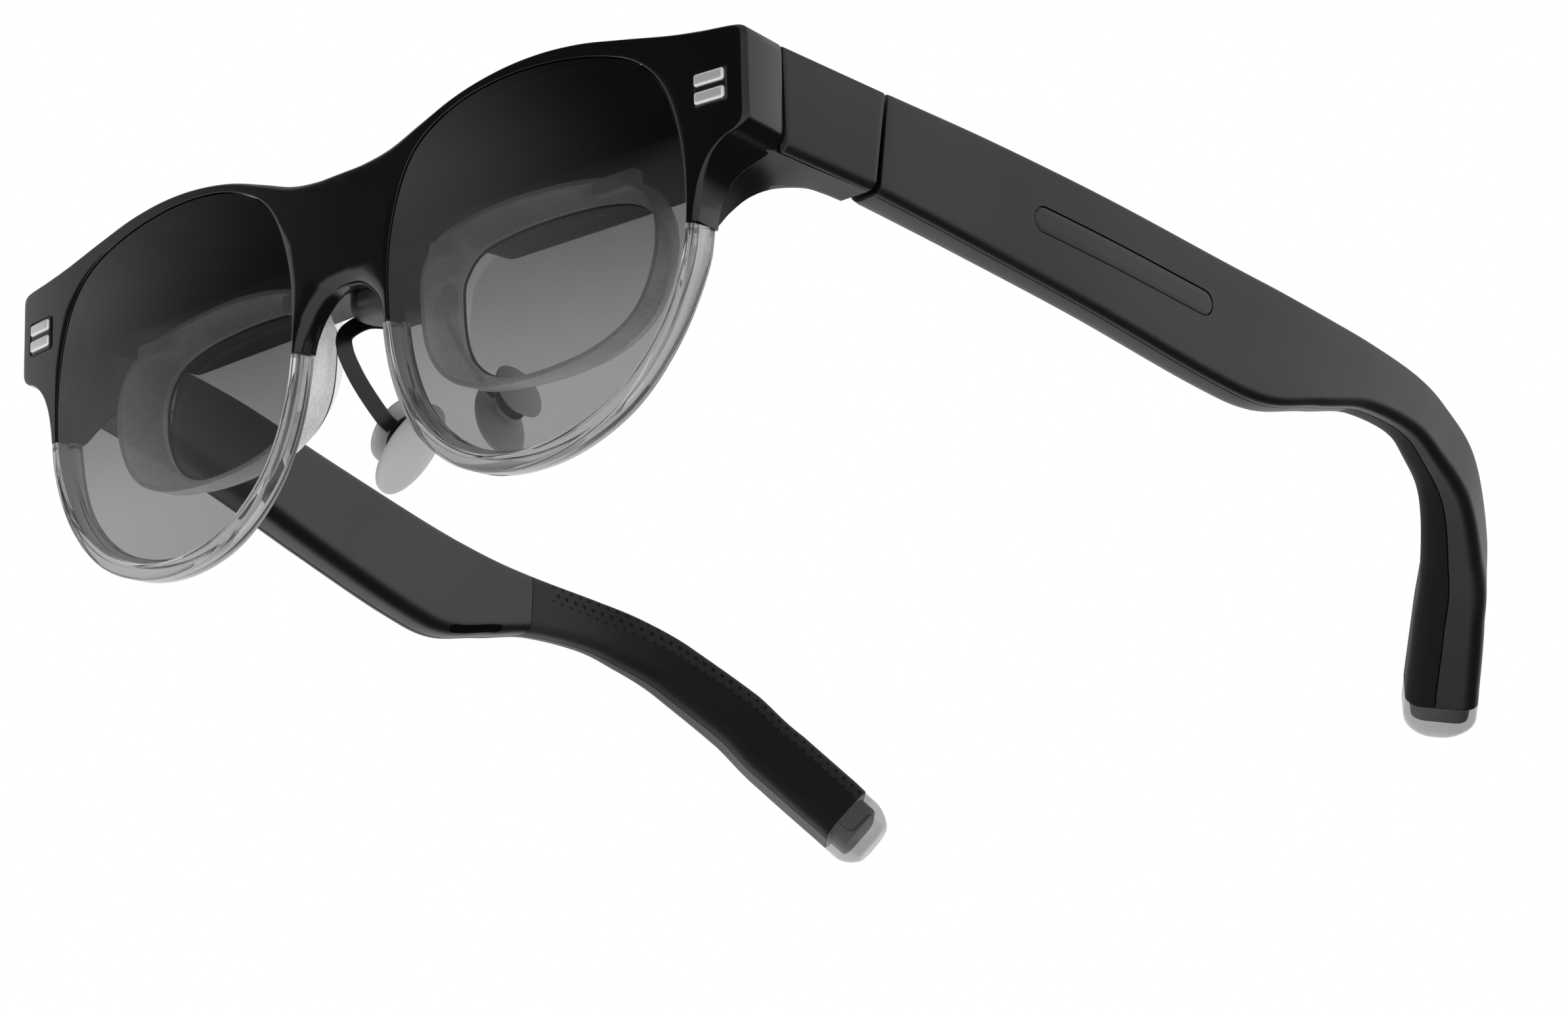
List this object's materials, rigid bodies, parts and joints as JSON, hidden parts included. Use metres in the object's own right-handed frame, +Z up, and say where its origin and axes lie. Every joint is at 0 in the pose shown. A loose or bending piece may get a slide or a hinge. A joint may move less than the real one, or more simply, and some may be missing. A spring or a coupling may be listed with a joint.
{
  "type": "smart glasses",
  "caption": "Display smart glasses: black front with clear lower rims, see-through optics behind dark lenses, nose pads on bent metal arms, and thick folding temples with curved ear hooks.",
  "frame": {"origin": "middle of the base of the bounding box, with the open glasses standing on the bottoms of the rims and the tips of the temples", "axes": "+X to the wearer's left, +Y back along the temples to the ears, +Z up"},
  "size_m": [0.176, 0.1778, 0.0564],
  "materials": {
    "black_gloss": "smooth moulded black plastic, semi-gloss",
    "black_satin": "fine satin black plastic",
    "soft_touch": "soft black over-moulding with small dimples",
    "clear_frame": "clear moulded plastic, polished",
    "smoked_lens": "grey tinted lens, polished",
    "clear_optics": "clear optical plastic, polished",
    "silver": "bright satin metal",
    "steel": "plain steel",
    "black_metal": "black coated metal, smooth",
    "silicone": "translucent white silicone",
    "circuit_board": "solder-masked circuit board",
    "display_panel": "dark panel with a glassy face",
    "battery_cell": "metal foil pouch"
  },
  "bodies": {
    "front": {"front_shell": "black_gloss", "optics_housing": "black_satin", "main_board": "circuit_board", "nose_bracket": "black_metal", "left_clear_rim": "clear_frame", "right_clear_rim": "clear_frame", "left_front_lens": "smoked_lens", "right_front_lens": "smoked_lens", "left_badge_upper": "silver", "right_badge_upper": "silver", "left_badge_lower": "silver", "right_badge_lower": "silver", "left_combiner": "clear_optics", "right_combiner": "clear_optics", "left_beam_splitter": "clear_optics", "right_beam_splitter": "clear_optics", "left_display_panel": "display_panel", "right_display_panel": "display_panel", "left_field_lens": "clear_optics", "right_field_lens": "clear_optics", "left_side_arm": "black_satin", "right_side_arm": "black_satin", "left_arm_liner": "black_satin", "right_arm_liner": "black_satin", "left_hinge_bracket": "steel", "right_hinge_bracket": "steel", "left_hinge_pin": "steel", "right_hinge_pin": "steel", "left_bracket_screw": "steel", "right_bracket_screw": "steel", "left_nose_screw": "steel", "right_nose_screw": "steel"},
    "left_temple": {"left_temple_shell": "black_satin", "left_temple_cover": "black_satin", "left_ear_grip": "soft_touch", "left_tip_cap": "clear_frame", "left_temple_board": "circuit_board", "left_battery": "battery_cell", "left_speaker_grille": "steel", "left_speaker": "black_metal", "left_hinge_leaf": "steel", "left_leaf_screw": "steel", "left_touch_pad": "black_satin"},
    "right_temple": {"right_temple_shell": "black_satin", "right_temple_cover": "black_satin", "right_ear_grip": "soft_touch", "right_tip_cap": "clear_frame", "right_temple_board": "circuit_board", "right_battery": "battery_cell", "right_speaker_grille": "steel", "right_speaker": "black_metal", "right_hinge_leaf": "steel", "right_leaf_screw": "steel"},
    "left_pad": {"left_nose_pad": "silicone"},
    "right_pad": {"right_nose_pad": "silicone"}
  },
  "joints": [
    {"name": "left_fold", "type": "hinge", "parent": "front", "child": "left_temple", "pos_m": [0.0722, -0.06012, 0.04184], "axis": [0, 0.0783, 0.9969], "range_deg": [-2, 92]},
    {"name": "right_fold", "type": "hinge", "parent": "front", "child": "right_temple", "pos_m": [-0.0722, -0.06012, 0.04184], "axis": [0, -0.0783, -0.9969], "range_deg": [-2, 78]},
    {"name": "left_pad_swivel", "type": "hinge", "parent": "front", "child": "left_pad", "pos_m": [0.01102, -0.06406, 0.02067], "axis": [0.1716, 0.9639, -0.2036], "range_deg": [-10, 10]},
    {"name": "right_pad_swivel", "type": "hinge", "parent": "front", "child": "right_pad", "pos_m": [-0.01102, -0.06406, 0.02067], "axis": [0.1716, -0.9639, 0.2036], "range_deg": [-10, 10]}
  ]
}
